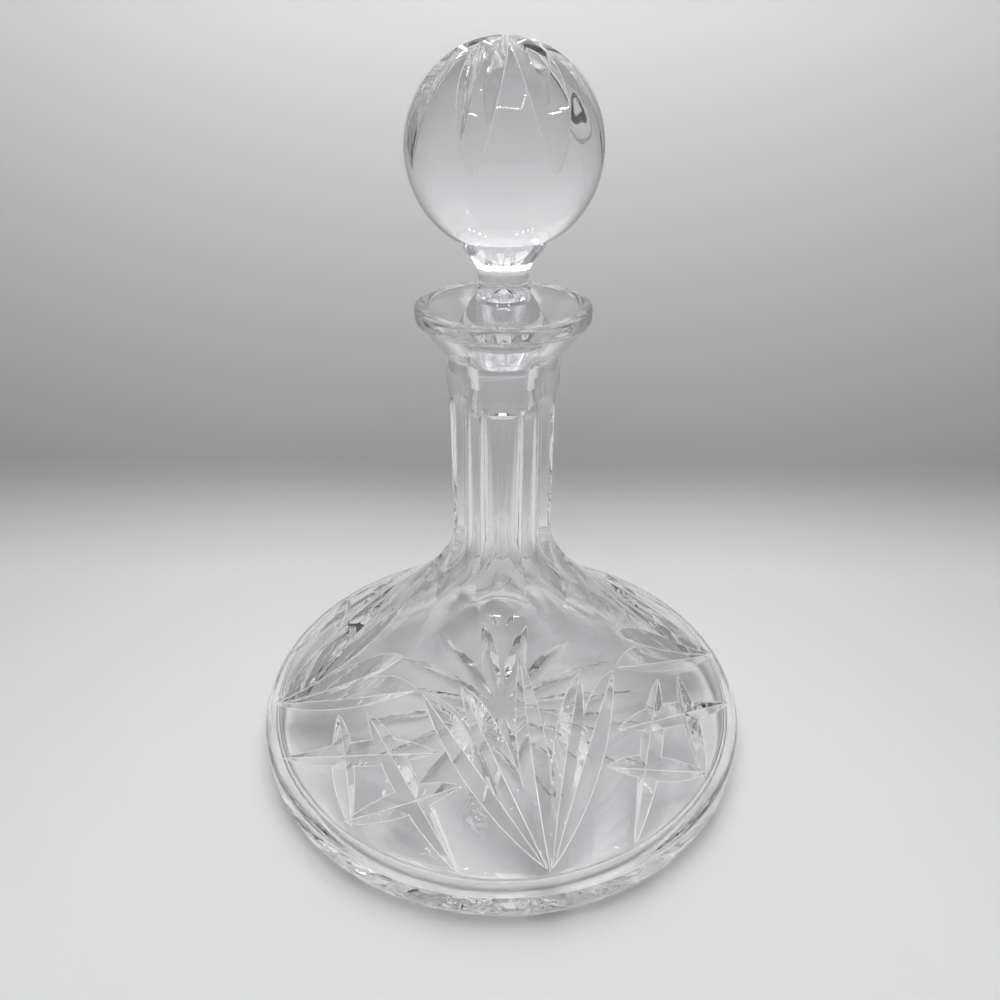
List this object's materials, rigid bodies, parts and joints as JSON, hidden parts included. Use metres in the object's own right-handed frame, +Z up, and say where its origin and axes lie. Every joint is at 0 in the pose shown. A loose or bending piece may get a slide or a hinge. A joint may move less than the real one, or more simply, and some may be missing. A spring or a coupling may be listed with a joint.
{
  "type": "ship's decanter",
  "caption": "Broad-based cut glass decanter with a fluted neck, flared lip and a solid ball stopper ground into the neck.",
  "frame": {"origin": "centre of the base, on the surface that the decanter stands on", "axes": "+Z up along the bottle's axis, -Y towards the front fan of cuts"},
  "size_m": [0.2, 0.2, 0.2652],
  "materials": {
    "bottle_glass": "clear polished cut glass",
    "stopper_glass": "clear polished cut glass, ground on the plug"
  },
  "bodies": {
    "bottle": {"decanter": "bottle_glass"},
    "stopper": {"stopper": "stopper_glass"}
  },
  "joints": [
    {"name": "stopper_lift", "type": "slide", "parent": "bottle", "child": "stopper", "axis": [0, 0, 1], "range_m": [0, 0.05]}
  ]
}
